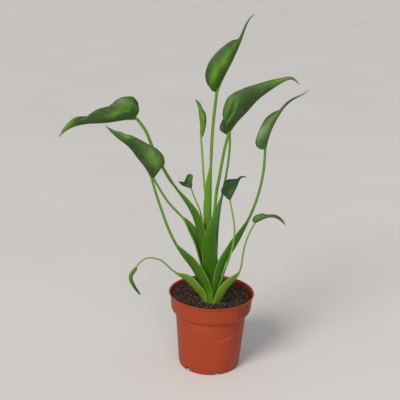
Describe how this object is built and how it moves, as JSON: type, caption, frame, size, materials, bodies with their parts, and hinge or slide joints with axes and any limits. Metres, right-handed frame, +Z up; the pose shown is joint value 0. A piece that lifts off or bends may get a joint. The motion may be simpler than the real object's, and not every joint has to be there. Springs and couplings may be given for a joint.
{
  "type": "potted dancing-leaf alocasia",
  "caption": "Upright house plant: cupped, drip-tipped leaves on long sheathed stalks that rise from one crown, in compost in a round plastic nursery pot.",
  "frame": {"origin": "middle of the pot's underside, on the surface it stands on", "axes": "+Z up; -Y towards the viewer of the picture; +X to the viewer's right"},
  "size_m": [0.3256, 0.1262, 0.4989],
  "materials": {
    "terracotta_plastic": "satin",
    "compost": "crumbly",
    "stalk_green": "satin",
    "blade_green": "glossy"
  },
  "bodies": {
    "root": {"pot": "terracotta_plastic", "soil": "compost", "tall_leaf_stalk": "stalk_green", "tall_leaf_blade": "blade_green", "broad_leaf_stalk": "stalk_green", "broad_leaf_blade": "blade_green", "back_right_leaf_stalk": "stalk_green", "back_right_leaf_blade": "blade_green", "right_leaf_stalk": "stalk_green", "right_leaf_blade": "blade_green", "upper_left_leaf_stalk": "stalk_green", "upper_left_leaf_blade": "blade_green", "front_left_leaf_stalk": "stalk_green", "front_left_leaf_blade": "blade_green", "back_left_leaf_stalk": "stalk_green", "back_left_leaf_blade": "blade_green", "heart_leaf_stalk": "stalk_green", "heart_leaf_blade": "blade_green", "rolled_leaf_stalk": "stalk_green", "rolled_leaf_blade": "blade_green", "small_right_leaf_stalk": "stalk_green", "small_right_leaf_blade": "blade_green", "low_right_leaf_stalk": "stalk_green", "low_right_leaf_blade": "blade_green", "low_left_leaf_stalk": "stalk_green", "low_left_leaf_blade": "blade_green"}
  },
  "joints": []
}
